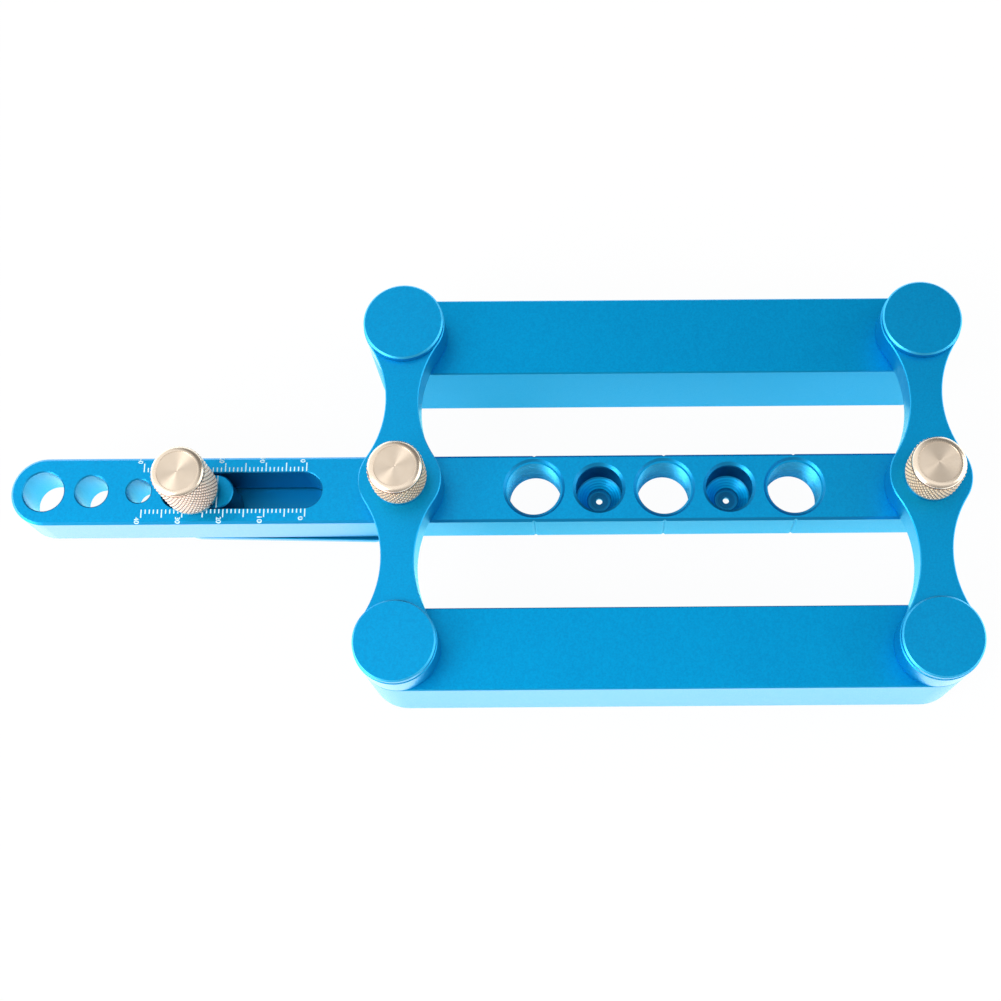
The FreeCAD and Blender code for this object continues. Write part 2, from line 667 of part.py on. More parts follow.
def make_parts():
    """Every piece of the jig, each a body of its own."""
    parts = [make_center_bar(), make_slider_block(), make_slider_screw(), make_stop_arm()]
    for side, across in (("left", "-" + pivot_x), ("right", pivot_x)):
        parts.append(make_pivot_bolt("pivot_bolt_" + side, across))
        parts.append(make_link("link_" + side, across))
        parts.append(make_washer(
            "thrust_washer_" + side, across, "0", link_top,
            "bolt_stud_diameter", "thrust_washer_diameter", "thrust_washer_thickness"))
        parts.append(make_knob(
            "knob_" + side, across, link_top + " + sliding_gap",
            "link_knob_diameter", "link_knob_height", "bolt_stud_diameter", "bolt_stud_reach"))
    parts.append(make_washer(
        "thrust_washer_slider", slider_x, "0", slider_washer_base,
        "slider_screw_diameter", "thrust_washer_diameter", "thrust_washer_thickness"))
    parts.append(make_knob(
        "knob_slider", slider_x, slider_washer_base + " + sliding_gap",
        "slider_knob_diameter", "slider_knob_height", "slider_screw_diameter", "slider_screw_reach"))
    for row, back in (("front", "-arm_length"), ("rear", "arm_length")):
        parts.append(make_jaw("jaw_" + row, back))
        for side, across in (("left", "-" + pivot_x), ("right", pivot_x)):
            place = row + "_" + side
            parts.append(make_pin("pin_" + place, across, back))
            parts.append(make_jaw_screw("jaw_screw_" + place, across, back))
            parts.append(make_washer(
                "jaw_washer_" + place, across, back,
                jaw_underside + " + counterbore_depth - screw_washer_thickness",
                "screw_diameter", "screw_washer_diameter", "screw_washer_thickness"))
    return parts


parts = make_parts()
doc.recompute()
for item in doc.Objects:
    if "Invalid" in item.State or "Error" in item.State:
        raise ValueError("failed object: " + item.Name)
for part in parts:
    if part.Shape.isNull() or not part.Shape.isValid():
        raise ValueError("bad shape: " + part.Label)
    if len(part.Shape.Solids) != 1:
        raise ValueError("not one solid: " + part.Label)

os.makedirs("parts", exist_ok=True)
for part in parts:
    part.Shape.exportStep("parts/%s.step" % part.Label)
print("wrote %d parts" % len(parts))
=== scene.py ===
import math

import bpy
from mathutils import Matrix, Vector


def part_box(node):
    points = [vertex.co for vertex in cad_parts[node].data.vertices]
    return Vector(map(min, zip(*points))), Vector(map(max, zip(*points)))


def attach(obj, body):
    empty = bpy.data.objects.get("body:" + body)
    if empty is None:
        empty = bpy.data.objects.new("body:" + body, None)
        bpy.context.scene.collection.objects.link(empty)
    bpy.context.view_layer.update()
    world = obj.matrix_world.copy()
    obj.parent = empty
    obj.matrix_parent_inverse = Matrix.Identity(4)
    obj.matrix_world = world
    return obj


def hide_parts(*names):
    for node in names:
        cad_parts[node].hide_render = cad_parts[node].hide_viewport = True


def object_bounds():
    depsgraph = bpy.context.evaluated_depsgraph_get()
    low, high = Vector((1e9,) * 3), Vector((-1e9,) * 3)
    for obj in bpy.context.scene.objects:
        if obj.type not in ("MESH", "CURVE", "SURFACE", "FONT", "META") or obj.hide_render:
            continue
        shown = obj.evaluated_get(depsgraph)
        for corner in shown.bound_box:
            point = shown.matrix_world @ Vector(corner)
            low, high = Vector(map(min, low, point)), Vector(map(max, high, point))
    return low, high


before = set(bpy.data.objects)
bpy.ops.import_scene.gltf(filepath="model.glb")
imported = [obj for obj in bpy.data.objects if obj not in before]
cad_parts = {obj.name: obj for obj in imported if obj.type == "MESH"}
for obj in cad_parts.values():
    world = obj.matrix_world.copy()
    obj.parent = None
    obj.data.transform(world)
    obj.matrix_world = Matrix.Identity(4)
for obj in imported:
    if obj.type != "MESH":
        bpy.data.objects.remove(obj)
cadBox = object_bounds()
mm = 0.001  # sizes below are in millimetres, as in the CAD


def deselectAll():
    if bpy.context.mode != "OBJECT":
        bpy.ops.object.mode_set(mode="OBJECT")
    bpy.ops.object.select_all(action="DESELECT")


def only(*pieces):
    deselectAll()
    for piece in pieces:
        piece.select_set(True)
    bpy.context.view_layer.objects.active = pieces[0]


def settle(piece, name):
    # its place goes into the mesh, and the object back to the origin
    only(piece)
    bpy.ops.object.transform_apply(location=True, rotation=True, scale=True)
    piece.name = name
    piece.data.name = name
    return piece


def applyModifier(piece, kind, **settings):
    only(piece)
    modifier = piece.modifiers.new(kind.title(), kind)
    for key, value in settings.items():
        setattr(modifier, key, value)
    bpy.ops.object.modifier_apply(modifier=modifier.name)


def pickVertices(piece, test):
    # selects vertices by their place and leaves the piece in edit mode
    only(piece)
    bpy.ops.object.mode_set(mode="EDIT")
    bpy.ops.mesh.select_mode(type="VERT")
    bpy.ops.mesh.select_all(action="DESELECT")
    bpy.ops.object.mode_set(mode="OBJECT")
    for vertex in piece.data.vertices:
        vertex.select = bool(test(vertex.co))
    bpy.ops.object.mode_set(mode="EDIT")


def joinPieces(pieces, name):
    only(*pieces)
    bpy.ops.object.join()
    return settle(bpy.context.object, name)


# camera, fitted to the bar's edges, the hole rims and the caps
viewpoint = {
    "lookAt": (-15.46, -5.44, 12.8),
    "distance": 392.97,
    "elevation": 73.478,
    "turn": -0.208,
    "roll": -0.216,
    "lens": 57.81,
    "shiftX": -0.1009,
    "shiftY": 0.0083,
    "clip": (10, 20000),
}


def addCamera():
    elevation, turn, roll = (math.radians(viewpoint[k]) for k in ("elevation", "turn", "roll"))
    back = Vector((
        math.sin(turn) * math.cos(elevation),
        -math.cos(turn) * math.cos(elevation),
        math.sin(elevation),
    ))
    right = Vector((0, 0, 1)).cross(back).normalized()
    up = back.cross(right)
    right, up = (
        math.cos(roll) * right + math.sin(roll) * up,
        math.cos(roll) * up - math.sin(roll) * right,
    )
    spot = (Vector(viewpoint["lookAt"]) + back * viewpoint["distance"]) * mm
    bpy.ops.object.camera_add()
    camera = bpy.context.object
    camera.matrix_world = Matrix.Translation(spot) @ Matrix((right, up, back)).transposed().to_4x4()
    camera.data.lens = viewpoint["lens"]
    camera.data.shift_x = viewpoint["shiftX"]
    camera.data.shift_y = viewpoint["shiftY"]
    camera.data.clip_start, camera.data.clip_end = (reach * mm for reach in viewpoint["clip"])
    bpy.context.scene.camera = camera


addCamera()
print("camera set")


# shader helpers; a value is a number or another node's output
def addNode(tree, kind, **settings):
    made = tree.nodes.new(kind)
    for key, value in settings.items():
        if key in made.inputs:
            made.inputs[key].default_value = value
        else:
            setattr(made, key, value)
    return made


def maths(tree, operation, first, second=None):
    made = addNode(tree, "ShaderNodeMath", operation=operation)
    for socket, value in zip(made.inputs, (first, second)):
        if value is None:
            continue
        if isinstance(value, (int, float)):
            socket.default_value = value
        else:
            tree.links.new(value, socket)
    return made.outputs[0]


def spread(tree, value, low=0.0, high=1.0, fromLow=0.3, fromHigh=0.7, **settings):
    # maps one range onto another, here a noise's usual range
    made = addNode(tree, "ShaderNodeMapRange", **settings)
    limits = (("From Min", fromLow), ("From Max", fromHigh), ("To Min", low), ("To Max", high))
    for key, number in limits:
        made.inputs[key].default_value = number
    tree.links.new(value, made.inputs["Value"])
    return made.outputs["Result"]


def ramp(tree, value, edges, low=0.0, high=1.0):
    # the same between two edges, with eased ends
    return spread(tree, value, low, high, *edges, interpolation_type="SMOOTHSTEP")


def splitAxes(tree, vector):
    made = addNode(tree, "ShaderNodeSeparateXYZ")
    tree.links.new(vector, made.inputs[0])
    return made.outputs["X"], made.outputs["Y"], made.outputs["Z"]


def blendColours(tree, factor, first, second):
    # each colour is a triple or another node's output
    made = addNode(tree, "ShaderNodeMix", data_type="RGBA")
    tree.links.new(factor, made.inputs[0])
    for socket, value in zip(made.inputs[6:8], (first, second)):
        if isinstance(value, tuple):
            socket.default_value = (*value, 1)
        else:
            tree.links.new(value, socket)
    return made.outputs[2]


def mixShaders(tree, factor, first, second):
    made = addNode(tree, "ShaderNodeMixShader")
    for socket, value in zip(made.inputs, (factor, first, second)):
        tree.links.new(value, socket)
    return made.outputs[0]


# studio: a soft tent, bright at the left and overhead, two side panels, and a floor that is pale to
# the eye and carries a painted reflection for the metal
white = (1, 1, 1, 1)
studio = {
    "leftPanel": {"at": (-700, -460, 490), "size": (470, 760), "power": 7.2},
    "rightPanel": {"at": (820, 30, 400), "size": (840, 640), "power": 3.6},
    "aim": (-30, 0, 0),
    # the tent's light: level plus slope times direction, within a range
    "tentSlope": (-1.95, -1.6, 0.0),
    "tentLevel": 1.70,
    "tentRange": (0.3, 1.52),
    "horizonEdge": (0.05, 0.34),
    "horizonLift": 0.42,
    "frontEdge": (-0.35, -0.85),
    "frontDim": 0.35,
    # the floor as the eye sees it
    "floorSize": 6000,
    "floorGap": 0.05,
    "floorColour": (0.86, 0.87, 0.88),
    "floorGlow": 0.96,
    # painted reflection: the floor as the blue metal mirrors it, tinted and brightened by place;
    # its edges are in metres
    "floorShine": 1.06,
    "backBand": ((0.075, 0.09), (0.15, 0.175)),
    "backBandDim": 0.3,
    "farLeft": (-0.2, -0.42),
    "farLeftShine": 0.9,
    "openTint": (0.72, 0.86, 0.95),
    "leftTint": (1.6, 1.06, 1.05),
    "leftEdge": (-0.06, -0.13),
    "leftFront": (-0.007, -0.011),
    "laneX": (0.085, 0.065),
    "laneY": (0.046, 0.034),
    "laneBack": (-0.008, 0.014),
    "rearLaneWider": 0.025,
    "frontLaneTint": (0.0, 0.93, 0.93),
    "rearLaneTint": (0.0, 0.76, 0.74),
    "holesX": (-0.142, 0.032, 0.026),
    "holesY": (0.0, 0.010, 0.008),
    "holesTint": (0.28, 1.2, 1.05),
}


def addPanel(name):
    panel = studio[name]
    spot = Vector(panel["at"]) * mm
    bpy.ops.object.light_add(type="AREA", location=spot)
    lamp = bpy.context.object
    lamp.name = name
    lamp.data.shape = "RECTANGLE"
    lamp.data.size = panel["size"][0] * mm
    lamp.data.size_y = panel["size"][1] * mm
    lamp.data.energy = panel["power"]
    lamp.rotation_euler = (Vector(studio["aim"]) * mm - spot).to_track_quat("-Z", "Y").to_euler()


def addTent():
    world = bpy.data.worlds.new("softTent")
    bpy.context.scene.world = world
    world.use_nodes = True
    tree = world.node_tree
    tree.nodes.clear()
    where = addNode(tree, "ShaderNodeTexCoord").outputs["Generated"]
    _, y, z = splitAxes(tree, where)
    lean = addNode(tree, "ShaderNodeVectorMath", operation="DOT_PRODUCT")
    lean.inputs[1].default_value = studio["tentSlope"]
    tree.links.new(where, lean.inputs[0])
    level = maths(tree, "ADD", lean.outputs["Value"], studio["tentLevel"])
    level = maths(tree, "MAXIMUM", level, studio["tentRange"][0])
    level = maths(tree, "MINIMUM", level, studio["tentRange"][1])
    horizon = ramp(tree, z, studio["horizonEdge"], studio["horizonLift"], 0.0)
    front = ramp(tree, y, studio["frontEdge"], 1.0, studio["frontDim"])
    strength = maths(tree, "MULTIPLY", maths(tree, "ADD", level, horizon), front)
    soft = addNode(tree, "ShaderNodeBackground")
    tree.links.new(strength, soft.inputs["Strength"])
    backdrop = addNode(tree, "ShaderNodeBackground", Color=white, Strength=1.0)
    seen = addNode(tree, "ShaderNodeLightPath").outputs["Is Camera Ray"]
    out = addNode(tree, "ShaderNodeOutputWorld")
    tree.links.new(mixShaders(tree, seen, soft.outputs[0], backdrop.outputs[0]), out.inputs[0])


def floorTint(tree, x, y):
    # painted reflection: open floor, redder at the left front
    left = ramp(tree, x, studio["leftEdge"])
    left = maths(tree, "MULTIPLY", left, ramp(tree, y, studio["leftFront"]))
    tint = blendColours(tree, left, studio["openTint"], studio["leftTint"])
    # painted reflection: a cyan patch under the drill holes
    windows = []
    for value, key in ((x, "holesX"), (y, "holesY")):
        middle, outer, inner = studio[key]
        away = maths(tree, "ABSOLUTE", maths(tree, "SUBTRACT", value, middle))
        windows.append(ramp(tree, away, (outer, inner)))
    tint = blendColours(tree, maths(tree, "MULTIPLY", *windows), tint, studio["holesTint"])
    # painted bounce light: the two lanes between bar and jaws, tinted as if lit off the blue walls;
    # the rear one is wider
    rear = ramp(tree, y, studio["laneBack"])
    wider = maths(tree, "MULTIPLY", rear, studio["rearLaneWider"])
    across = maths(tree, "SUBTRACT", maths(tree, "ABSOLUTE", x), wider)
    lane = maths(
        tree, "MULTIPLY",
        ramp(tree, across, studio["laneX"]),
        ramp(tree, maths(tree, "ABSOLUTE", y), studio["laneY"]),
    )
    laneTint = blendColours(tree, rear, studio["frontLaneTint"], studio["rearLaneTint"])
    return blendColours(tree, lane, tint, laneTint)


def floorShine(tree, x, y):
    # painted reflection: brighter far out at the left, dimmer in a band behind the jig
    shine = studio["floorShine"]
    dim = shine * (1 - studio["backBandDim"])
    bandIn, bandOut = (ramp(tree, y, edges, 0.0, dim) for edges in studio["backBand"])
    farLeft = ramp(tree, x, studio["farLeft"], shine, shine + studio["farLeftShine"])
    return maths(tree, "ADD", maths(tree, "SUBTRACT", farLeft, bandIn), bandOut)


def addFloor():
    height = cadBox[0].z - studio["floorGap"] * mm
    bpy.ops.mesh.primitive_plane_add(size=studio["floorSize"] * mm, location=(0, 0, height))
    floor = bpy.context.object
    floor.name = "floor"
    material = bpy.data.materials.new("paleFloor")
    material.use_nodes = True
    tree = material.node_tree
    tree.nodes.clear()
    ray = addNode(tree, "ShaderNodeLightPath")
    x, y, _ = splitAxes(tree, addNode(tree, "ShaderNodeTexCoord").outputs["Object"])
    matt = addNode(tree, "ShaderNodeBsdfDiffuse", Color=(*studio["floorColour"], 1))
    glow = addNode(tree, "ShaderNodeEmission", Color=white, Strength=1.0)
    share = maths(tree, "MULTIPLY", ray.outputs["Is Camera Ray"], studio["floorGlow"])
    seen = mixShaders(tree, share, matt.outputs[0], glow.outputs[0])
    # painted reflection: glossy rays see the floor glow in the tints placed above
    mirrored = addNode(tree, "ShaderNodeEmission")
    tree.links.new(floorTint(tree, x, y), mirrored.inputs["Color"])
    strength = maths(tree, "MULTIPLY", ray.outputs["Is Glossy Ray"], floorShine(tree, x, y))
    tree.links.new(strength, mirrored.inputs["Strength"])
    both = addNode(tree, "ShaderNodeAddShader")
    tree.links.new(seen, both.inputs[0])
    tree.links.new(mirrored.outputs[0], both.inputs[1])
    # clear from below, so that the jig's underside can be looked at
    below = addNode(tree, "ShaderNodeNewGeometry").outputs["Backfacing"]
    clear = addNode(tree, "ShaderNodeBsdfTransparent")
    out = addNode(tree, "ShaderNodeOutputMaterial")
    tree.links.new(mixShaders(tree, below, both.outputs[0], clear.outputs[0]), out.inputs[0])
    floor.data.materials.append(material)


for panelName in ("leftPanel", "rightPanel"):
    addPanel(panelName)
addTent()
addFloor()
bpy.context.scene.view_settings.view_transform = "Standard"
print("studio set")


# finishes; every pattern is in millimetres on Object coordinates
def newMaterial(name):
    material = bpy.data.materials.new(name)
    material.use_nodes = True
    tree = material.node_tree
    tree.nodes.clear()
    shader = addNode(tree, "ShaderNodeBsdfPrincipled")
    out = addNode(tree, "ShaderNodeOutputMaterial")
    tree.links.new(shader.outputs[0], out.inputs[0])
    return material, tree, shader


def setInputs(tree, shader, values):
    # a number stands on the shader's own socket, anything else is linked to it
    for key, value in values.items():
        socket = shader.inputs[key]
        if isinstance(value, (int, float)):
            socket.default_value = value
        else:
            tree.links.new(value, socket)


def inMillimetres(tree, centre=(0, 0, 0), stretch=(1, 1, 1)):
    # Object coordinates about a centre, in millimetres, drawn out along an axis
    where = addNode(tree, "ShaderNodeTexCoord")
    scale = tuple(1 / (mm * s) for s in stretch)
    shift = addNode(tree, "ShaderNodeMapping", vector_type="POINT")
    shift.inputs["Scale"].default_value = scale
    shift.inputs["Location"].default_value = tuple(-c * mm * s for c, s in zip(centre, scale))
    tree.links.new(where.outputs["Object"], shift.inputs["Vector"])
    return shift.outputs["Vector"]


def noise(tree, vector, size, detail=2.0, rough=0.5):
    made = addNode(tree, "ShaderNodeTexNoise", Scale=1 / size, Detail=detail, Roughness=rough)
    tree.links.new(vector, made.inputs["Vector"])
    return made.outputs["Fac"]


def fromAxis(tree, x, y):
    squares = (maths(tree, "POWER", value, 2.0) for value in (x, y))
    return maths(tree, "SQRT", maths(tree, "ADD", *squares))


def between(tree, value, low, high):
    above = maths(tree, "GREATER_THAN", value, low)
    return maths(tree, "MULTIPLY", above, maths(tree, "LESS_THAN", value, high))


def within(tree, value, reach):
    return maths(tree, "LESS_THAN", maths(tree, "ABSOLUTE", value), reach)


def wave(tree, value, pitch):
    return maths(tree, "SINE", maths(tree, "MULTIPLY", value, 2 * math.pi / pitch))


def bump(tree, shader, *layers):
    # each layer is a height socket and its depth in millimetres
    normal = None
    for height, depth in layers:
        made = addNode(tree, "ShaderNodeBump", Strength=1.0, Distance=depth * mm)
        tree.links.new(height, made.inputs["Height"])
        if normal is not None:
            tree.links.new(normal, made.inputs["Normal"])
        normal = made.outputs["Normal"]
    tree.links.new(normal, shader.inputs["Normal"])


anodise = {
    "colour": (0.0, 0.37, 0.73),
    "deep": (0.0, 0.28, 0.61),
    # painted shade: the colour of upright and lower faces
    "side": (0.0, 0.29, 0.54),
    # painted highlight: the colour of broken edges
    "edge": (0.01, 0.35, 0.64),
    "cloudSize": 14.0,
    "cloudShare": 0.35,
    "speckleSize": 0.45,
    "speckleSpread": (0.32, 0.68),
    "streakSize": 0.35,
    "streakSpread": (0.35, 0.65),
    "grainSize": 0.22,
    "grainRough": 0.65,
    "grainHeight": 0.012,
    # how far up a face looks where it counts as a top, and where as a broken edge
    "topFrom": (0.25, 0.6),
    "edgeFrom": (0.2, 0.5),
    "edgeTo": (0.8, 0.96),
    "metal": 1.0,
    "rough": (0.38, 0.5),
    "coat": 0.7,
    "coatRough": 0.22,
    "coatIor": 1.2,
}


def anodised(
    name, stretch=(1, 1, 1), streak=0.0, marks=None, coat=anodise["coat"],
    side=anodise["side"], paintedSideHighlight=None, edge=anodise["edge"], paintedPatches=(),
):
    # blasted and dyed aluminium: fine grain, faint clouding, faint tool streaks;
    # upright and lower faces get a painted shade, broken edges a painted highlight
    material, tree, shader = newMaterial(name)
    plain = inMillimetres(tree)
    cloud = noise(tree, plain, anodise["cloudSize"], detail=3.0)
    speckle = noise(tree, plain, anodise["speckleSize"])
    speckle = spread(tree, speckle, 0.0, 1.0, *anodise["speckleSpread"])
    grain = noise(tree, plain, anodise["grainSize"], detail=3.0, rough=anodise["grainRough"])
    streaks = noise(tree, inMillimetres(tree, stretch=stretch), anodise["streakSize"])
    shade = maths(
        tree, "ADD",
        maths(tree, "MULTIPLY", cloud, anodise["cloudShare"]),
        maths(tree, "MULTIPLY", speckle, 1 - anodise["cloudShare"]),
    )
    colour = blendColours(tree, shade, anodise["deep"], anodise["colour"])
    _, _, upward = splitAxes(tree, addNode(tree, "ShaderNodeNewGeometry").outputs["Normal"])
    # painted highlight: lighter streaks over the upright faces, where a colour for them is given
    if paintedSideHighlight:
        lines = spread(tree, streaks, 0.0, 1.0, *anodise["streakSpread"])
        side = blendColours(tree, lines, side, paintedSideHighlight)
    # painted shade on upright and lower faces
    top = spread(tree, upward, 0.0, 1.0, *anodise["topFrom"])
    colour = blendColours(tree, top, side, colour)
    # painted highlight on broken edges
    steep = maths(tree, "ABSOLUTE", upward)
    slanted = maths(
        tree, "MULTIPLY",
        spread(tree, steep, 0.0, 1.0, *anodise["edgeFrom"]),
        spread(tree, steep, 1.0, 0.0, *anodise["edgeTo"]),
    )
    colour = blendColours(tree, slanted, colour, edge)
    # painted light and shade by place on the part
    for mask, shaded in paintedPatches:
        colour = blendColours(tree, mask(tree), colour, shaded)
    setInputs(tree, shader, {
        "Base Color": colour,
        "Roughness": spread(tree, grain, *anodise["rough"]),
        "Metallic": anodise["metal"],
        "Coat Weight": coat,
        "Coat Roughness": anodise["coatRough"],
        "Coat IOR": anodise["coatIor"],
    })
    layers = [(grain, anodise["grainHeight"])]
    if streak:
        layers.append((streaks, streak))
    if marks:
        layers.append(marks(tree))
    bump(tree, shader, *layers)
    return material


# painted light and shade by place on the bar and the stop arm: the marking bores' dark walls and
# recesses and lighter cones, the slot's inside, the arm's shaded top
markingBore = {
    "at": 16.0, "mouth": 11.0, "floor": 0.2, "recess": (2.0, 3.1), "cone": (3.1, 5.4),
    "wall": (5.5, 5.7), "outside": 5.8, "ringPitch": 0.6, "ringEdge": 5.74, "ringHeight": 0.011,
}
slotInside = {"middle": -104.0, "below": 12.5, "halfWidth": 4.75, "halfLength": 20.2}
armShade = {"above": -0.78, "seenHalf": 6.5}


def boreRadius(tree):
    # distance from the nearer marking bore's axis, and the height
    x, y, z = splitAxes(tree, inMillimetres(tree))
    across = maths(tree, "SUBTRACT", maths(tree, "ABSOLUTE", x), markingBore["at"])
    return fromAxis(tree, across, y), z


def boreRings(tree):
    # turning rings on the bores' floors
    radius, _ = boreRadius(tree)
    inside = maths(tree, "LESS_THAN", radius, markingBore["ringEdge"])
    rings = wave(tree, radius, markingBore["ringPitch"])
    return maths(tree, "MULTIPLY", rings, inside), markingBore["ringHeight"]


def boreShade(tree):
    # painted shade: one in the bores' small inner recess and on their walls
    radius, level = boreRadius(tree)
    recess = spread(tree, radius, 1.0, 0.0, *markingBore["recess"])
    inside = maths(tree, "LESS_THAN", radius, markingBore["outside"])
    wall = maths(tree, "MULTIPLY", spread(tree, radius, 0.0, 1.0, *markingBore["wall"]), inside)
    sunken = between(tree, level, markingBore["floor"], markingBore["mouth"])
    return maths(tree, "MULTIPLY", maths(tree, "ADD", recess, wall), sunken)


def boreCone(tree):
    # painted light: one on the bores' cone-shaped floors, which are coloured lighter
    radius, level = boreRadius(tree)
    ring = between(tree, radius, *markingBore["cone"])
    sunken = between(tree, level, markingBore["floor"], markingBore["mouth"])
    return maths(tree, "MULTIPLY", ring, sunken)


def slotPocket(tree):
    # painted light and shade: one inside the slot, below its mouth, where a colour of its own
    # stands for the light there
    x, y, z = splitAxes(tree, inMillimetres(tree, (slotInside["middle"], 0, 0)))
    inside = maths(
        tree, "MULTIPLY",
        within(tree, y, slotInside["halfWidth"]), within(tree, x, slotInside["halfLength"]),
    )
    return maths(tree, "MULTIPLY", maths(tree, "LESS_THAN", z, slotInside["below"]), inside)


def armTop(tree):
    # one on the stop arm's upper face, which lies in the bar's shade
    _, _, z = splitAxes(tree, inMillimetres(tree))
    return maths(tree, "GREATER_THAN", z, armShade["above"])


def armUnderSlot(tree):
    # painted shade, less deep: one on the strip of that face that is seen through the slot
    _, y, _ = splitAxes(tree, inMillimetres(tree))
    return maths(tree, "MULTIPLY", within(tree, y, armShade["seenHalf"]), armTop(tree))


def turnedRings(centre, pitch, depth):
    # faint rings of a faced disc, about the disc's own axis
    def rings(tree):
        x, y, _ = splitAxes(tree, inMillimetres(tree, centre))
        return wave(tree, fromAxis(tree, x, y), pitch), depth
    return rings


brass = {
    "colour": (0.81, 0.695, 0.57),
    "dark": (0.73, 0.61, 0.48),
    "polished": {"cloud": 4.0, "grain": 0.25, "rough": (0.22, 0.30), "depth": 0.0015},
    "turned": {"cloud": 2.6, "grain": 0.3, "rough": (0.4, 0.48), "depth": 0.002},
    "swirl": 0.8,
    "swirlTurn": 0.25,
    # pitch and height of the turned faces' rings
    "rings": (0.33, 0.0006),
    "knurled": {"cloud": 1.6, "grain": 0.15, "rough": (0.30, 0.42), "depth": 0.003},
    "grooveColour": (0.12, 0.05, 0.012),
    # how far over the groove's root and under the tip its colour fades
    "grooveFade": (0.01, 0.13),
}


def polishedBrass(name, centre):
    # the knob's round, form-turned and bright
    look = brass["polished"]
    material, tree, shader = newMaterial(name)
    where = inMillimetres(tree, centre)
    cloud = noise(tree, where, look["cloud"], detail=3.0)
    grain = noise(tree, where, look["grain"], detail=3.0)
    setInputs(tree, shader, {
        "Base Color": blendColours(tree, cloud, brass["dark"], brass["colour"]),
        "Roughness": spread(tree, grain, *look["rough"]),
        "Metallic": 1.0,
    })
    bump(tree, shader, (grain, look["depth"]))
    return material


def turnedBrass(name, centre):
    # lathe-turned: drawn-out highlights across fine rings
    look = brass["turned"]
    material, tree, shader = newMaterial(name)
    where = inMillimetres(tree, centre)
    cloud = noise(tree, where, look["cloud"], detail=4.0)
    grain = noise(tree, where, look["grain"], detail=3.0)
    tangent = addNode(tree, "ShaderNodeTangent", direction_type="RADIAL", axis="Z")
    setInputs(tree, shader, {
        "Base Color": blendColours(tree, cloud, brass["dark"], brass["colour"]),
        "Roughness": spread(tree, grain, *look["rough"]),
        "Metallic": 1.0,
        "Anisotropic": brass["swirl"],
        "Anisotropic Rotation": brass["swirlTurn"],
        "Tangent": tangent.outputs[0],
    })
    bump(tree, shader, (grain, look["depth"]), turnedRings(centre, *brass["rings"])(tree))
    return material


def knurledBrass(name, centre, knob):
    # the grooves between the diamonds are darker than their tips
    look = brass["knurled"]
    material, tree, shader = newMaterial(name)
    where = inMillimetres(tree, centre)
    cloud = noise(tree, where, look["cloud"], detail=3.0)
    grain = noise(tree, where, look["grain"])
    x, y, _ = splitAxes(tree, where)
    low = knob["side"] - knob["knurlDepth"] + brass["grooveFade"][0]
    high = knob["side"] - brass["grooveFade"][1]
    height = spread(tree, fromAxis(tree, x, y), 0.0, 1.0, low, high)
    metal = blendColours(tree, cloud, knob["knurlDark"], knob["knurlColour"])
    setInputs(tree, shader, {
        "Base Color": blendColours(tree, height, brass["grooveColour"], metal),
        "Roughness": spread(tree, grain, *look["rough"]),
        "Metallic": knob["knurlMetal"],
    })
    bump(tree, shader, (grain, look["depth"]))
    return material


plating = {
    "dark": (0.46, 0.47, 0.49), "colour": (0.63, 0.64, 0.66), "rough": (0.24, 0.38),
    "cloud": 2.5, "grain": 0.15, "metal": 0.5, "depth": 0.004,
}
chalking = {
    "dark": (0.50, 0.80, 0.93), "colour": (0.74, 0.93, 0.98), "rough": (0.55, 0.8),
    "patch": 0.35, "patchRough": 0.7, "depth": 0.004,
}


def platedSteel(name):
    material, tree, shader = newMaterial(name)
    where = inMillimetres(tree)
    cloud = noise(tree, where, plating["cloud"], detail=4.0)
    grain = noise(tree, where, plating["grain"])
    setInputs(tree, shader, {
        "Base Color": blendColours(tree, cloud, plating["dark"], plating["colour"]),
        "Roughness": spread(tree, cloud, *plating["rough"]),
        "Metallic": plating["metal"],
    })
    bump(tree, shader, (grain, plating["depth"]))
    return material


def whiteMark(name):
    # laser-burnt marks: chalky white, a little patchy
    material, tree, shader = newMaterial(name)
    where = inMillimetres(tree)
    patch = noise(tree, where, chalking["patch"], detail=3.0, rough=chalking["patchRough"])
    setInputs(tree, shader, {
        "Base Color": blendColours(tree, patch, chalking["dark"], chalking["colour"]),
        "Roughness": spread(tree, patch, *chalking["rough"]),
    })
    bump(tree, shader, (patch, chalking["depth"]))
    return material


def dress(nodeName, material):
    # CAD nodes keep their mesh and get a better finish
    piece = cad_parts[nodeName]
    if not piece.material_slots:
        piece.data.materials.append(material)
    for slot in piece.material_slots:
        slot.material = material


pivotX = 64.0
armLength = 40.0
sliderX = -115.7
# how far the tool streaks are drawn out along each axis
alongX = (9, 1, 1)
alongY = (1, 9, 1)
aroundZ = (8, 8, 1)
pinRings = {"pitch": 0.3, "depth": 0.0012}

# the bar's broken edges get a painted highlight of their own colour
dress("center_bar", anodised(
    "barBlue", alongX, streak=0.003, marks=boreRings, edge=(0.01, 0.31, 0.61),
    # painted light and shade by place: the slot's inside, the bores' lighter cones, their dark
    # recesses and walls
    paintedPatches=(
        (slotPocket, (0.0, 0.42, 0.76)),
        (boreCone, (0.0, 0.46, 0.92)),
        (boreShade, (0.0, 0.15, 0.33)),
    ),
))
jawBlue = anodised("jawBlue", alongX, streak=0.004, coat=0.35)
for nodeName in ("jaw_front", "jaw_rear"):
    dress(nodeName, jawBlue)
linkBlue = anodised("linkBlue", alongY, streak=0.002)
for nodeName in ("link_left", "link_right"):
    dress(nodeName, linkBlue)
